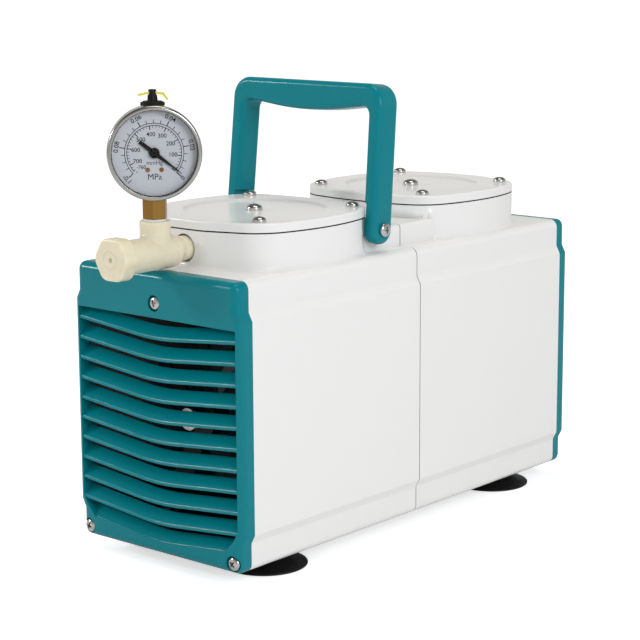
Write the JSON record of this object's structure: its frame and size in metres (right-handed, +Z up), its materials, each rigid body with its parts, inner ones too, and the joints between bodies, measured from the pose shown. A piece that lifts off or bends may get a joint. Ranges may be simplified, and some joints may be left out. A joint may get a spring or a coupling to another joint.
{
  "type": "diaphragm vacuum pump",
  "caption": "Oil-free diaphragm vacuum pump: box housing with louvred end grilles, round heads, carry handle, inlet tee with dial gauge and suction-cup feet.",
  "frame": {"origin": "on the floor plane, under the middle of the body, where the seam of the two castings meets the lengthwise middle plane", "axes": "+Z up; +X along the motor shaft, away from the gauge end; -Y towards the long side that faces the viewer"},
  "size_m": [0.3569, 0.1452, 0.2757],
  "materials": {
    "white_paint": "cast aluminium with glossy white paint",
    "teal_plastic": "glossy teal moulded plastic",
    "stainless": "stainless steel",
    "black_rubber": "black rubber",
    "nylon": "natural translucent nylon",
    "brass": "turned brass",
    "white_enamel": "white enamelled dial with a printed scale",
    "black_metal": "black painted metal",
    "clear_lens": "clear window",
    "black_plastic": "black moulded plastic",
    "yellow_plastic": "yellow flexible plastic",
    "bare_aluminium": "machined aluminium",
    "electrical_steel": "stacked electrical steel",
    "copper_winding": "enamelled copper winding",
    "bearing_steel": "ground bearing steel",
    "white_plastic": "white moulded plastic"
  },
  "bodies": {
    "base": {"housing_left": "white_paint", "grille_cover_left": "teal_plastic", "head_cover_left": "white_paint", "head_gasket_left": "black_rubber", "valve_plate_left": "bare_aluminium", "valve_flaps_left": "black_rubber", "diaphragm_left": "black_rubber", "stator_winding_left": "copper_winding", "shaft_bearing_left": "bearing_steel", "housing_right": "white_paint", "grille_cover_right": "teal_plastic", "head_cover_right": "white_paint", "head_gasket_right": "black_rubber", "valve_plate_right": "bare_aluminium", "valve_flaps_right": "black_rubber", "diaphragm_right": "black_rubber", "stator_winding_right": "copper_winding", "shaft_bearing_right": "bearing_steel", "grille_screws": "stainless", "head_screws": "stainless", "centre_screws": "stainless", "stator_core": "electrical_steel", "suction_feet": "black_rubber", "foot_screws": "stainless", "handle_pivot_screws": "stainless", "handle_washers": "white_plastic", "inlet_tee": "nylon", "stem_seal": "white_plastic", "gauge_stem": "brass", "gauge_case": "stainless", "gauge_bezel": "stainless", "gauge_dial": "white_enamel", "gauge_lens": "clear_lens", "gauge_vent_plug": "black_rubber", "gauge_vent_tab": "yellow_plastic", "transfer_tube": "brass", "outlet_fitting": "brass", "power_switch": "black_plastic", "cable_gland": "black_plastic", "run_capacitor": "white_plastic", "capacitor_strap": "stainless"},
    "rotor": {"motor_shaft": "bearing_steel", "rotor_core": "electrical_steel", "eccentric_left": "electrical_steel", "eccentric_right": "electrical_steel", "fan_left": "black_plastic", "fan_right": "black_plastic"},
    "rod_left": {"conrod_left": "bare_aluminium", "crank_bearing_left": "bearing_steel", "clamp_disc_left": "bare_aluminium", "clamp_screw_left": "stainless"},
    "rod_right": {"conrod_right": "bare_aluminium", "crank_bearing_right": "bearing_steel", "clamp_disc_right": "bare_aluminium", "clamp_screw_right": "stainless"},
    "carry_handle": {"handle": "teal_plastic"},
    "pointer": {"gauge_needle": "black_metal"},
    "cap": {"inlet_cap": "nylon"},
    "rocker": {"switch_rocker": "black_plastic"}
  },
  "joints": [
    {"name": "rotor_spin", "type": "hinge", "parent": "base", "child": "rotor", "pos_m": [0, 0, 0.084], "axis": [1, 0, 0], "continuous": true},
    {"name": "rod_left_swing", "type": "hinge", "parent": "rotor", "child": "rod_left", "pos_m": [-0.075, 0, 0.087], "axis": [1, 0, 0], "continuous": true, "deforming": ["diaphragm_left"]},
    {"name": "rod_right_swing", "type": "hinge", "parent": "rotor", "child": "rod_right", "pos_m": [0.075, 0, 0.081], "axis": [1, 0, 0], "continuous": true, "deforming": ["diaphragm_right"]},
    {"name": "handle_pivot", "type": "hinge", "parent": "base", "child": "carry_handle", "pos_m": [-0.028, 0, 0.188], "axis": [0, 1, 0], "range_deg": [0, 60]},
    {"name": "pointer_sweep", "type": "hinge", "parent": "base", "child": "pointer", "pos_m": [-0.1573, 0, 0.2415], "axis": [-0.6691, -0.7431, 0], "range_deg": [0, 266], "stiffness_Nm_per_rad": 0.0002},
    {"name": "cap_turn", "type": "hinge", "parent": "base", "child": "cap", "pos_m": [-0.19, 0, 0.1845], "axis": [-1, 0, 0], "range_deg": [0, 360]},
    {"name": "rocker_tilt", "type": "hinge", "parent": "base", "child": "rocker", "pos_m": [0.101, 0.0659, 0.062], "axis": [0, 0, 1], "range_deg": [0, 10.7]}
  ],
  "couplings": [
    {"joint": "rod_left_swing", "follows": "rotor_spin", "ratio": -1},
    {"joint": "rod_right_swing", "follows": "rotor_spin", "ratio": -1}
  ]
}
